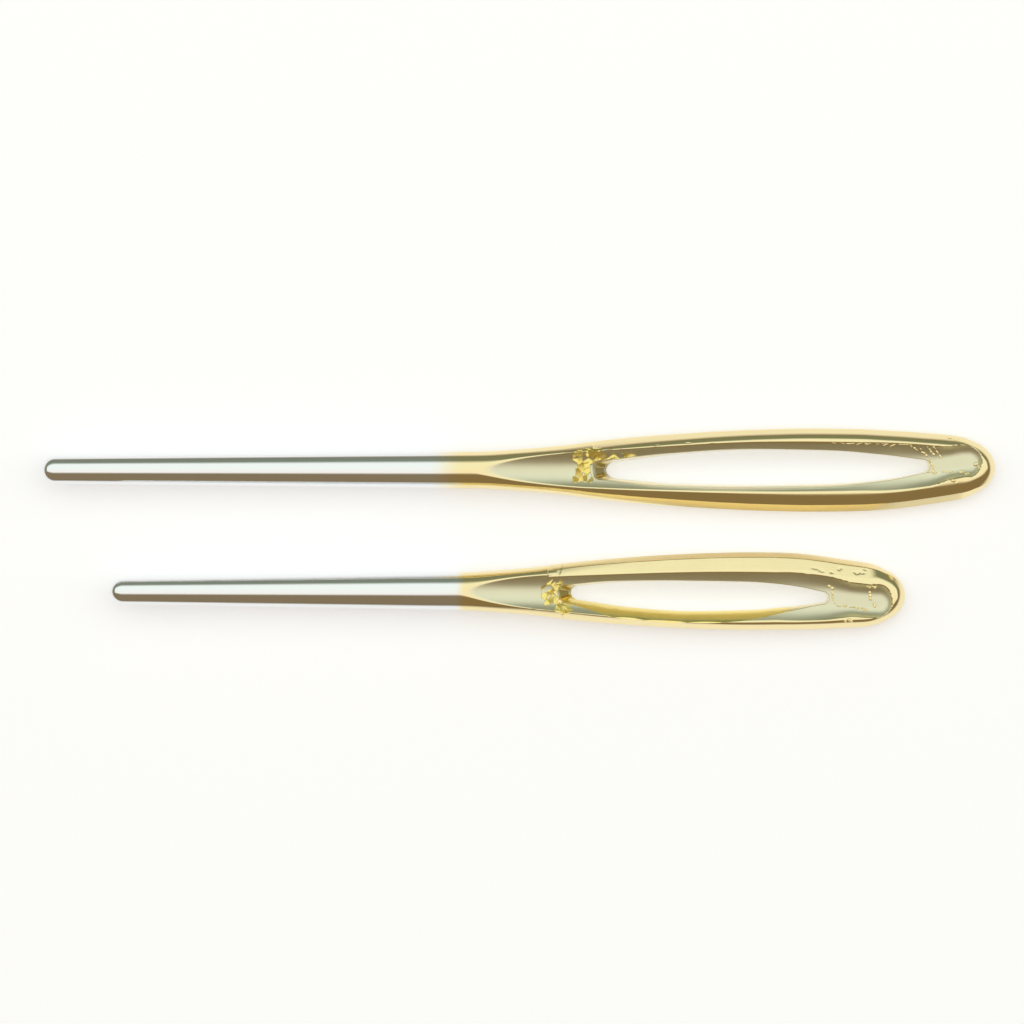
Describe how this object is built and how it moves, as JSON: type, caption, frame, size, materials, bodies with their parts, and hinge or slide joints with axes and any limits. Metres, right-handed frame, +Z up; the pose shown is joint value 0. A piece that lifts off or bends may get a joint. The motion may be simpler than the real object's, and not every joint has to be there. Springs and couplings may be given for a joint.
{
  "type": "yarn needle pair",
  "caption": "Long and short blunt steel yarn needles with long stamped eyes, nickel-plated shanks and gold-plated eyes, lying side by side.",
  "frame": {"origin": "on the table, under the middle of the box that holds both needles", "axes": "+X from the tips towards the eyes, +Y towards the long needle, +Z up from the table and through the eyes"},
  "size_m": [0.07, 0.0148, 0.0028],
  "materials": {
    "nickel_steel": "nickel plated and polished",
    "gold_plate": "thin bright gold plate, polished"
  },
  "bodies": {
    "long_needle": {"long_needle_blank": "nickel_steel", "long_needle_gold_plate": "gold_plate"},
    "short_needle": {"short_needle_blank": "nickel_steel", "short_needle_gold_plate": "gold_plate"}
  },
  "joints": [
    {"name": "short_needle_lift", "type": "slide", "parent": "long_needle", "child": "short_needle", "axis": [0, 0, 1], "range_m": [0, 0.03]}
  ]
}
